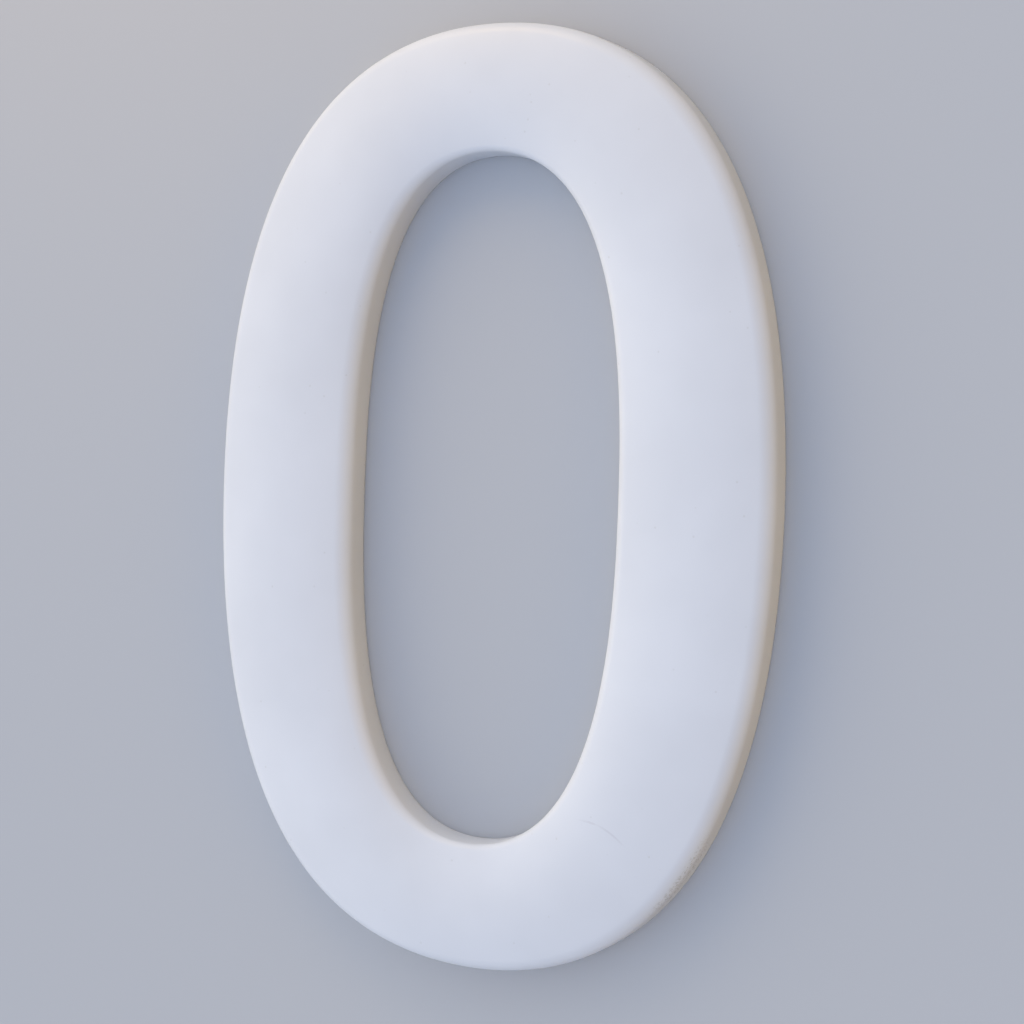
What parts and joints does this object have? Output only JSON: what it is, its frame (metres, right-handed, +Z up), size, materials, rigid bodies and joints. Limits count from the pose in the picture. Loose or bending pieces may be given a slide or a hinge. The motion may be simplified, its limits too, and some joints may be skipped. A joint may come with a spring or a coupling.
{
  "type": "house number digit",
  "caption": "Moulded plastic house number digit 0: an upright oval ring with a crowned face, rolled edges and a flat back that is fixed to a wall, door or gate.",
  "frame": {"origin": "middle of the digit, in the plane of its flat back", "axes": "+Z up, along the digit's height; +X to the viewer's right, along its width; +Y out of the flat back, into the wall; the crowned face looks along -Y"},
  "size_m": [0.0656, 0.0048, 0.1],
  "materials": {
    "moulded_plastic": "cool white, self-coloured, satin as moulded, with a fine grain"
  },
  "bodies": {
    "root": {"digit_zero": "moulded_plastic"}
  },
  "joints": []
}
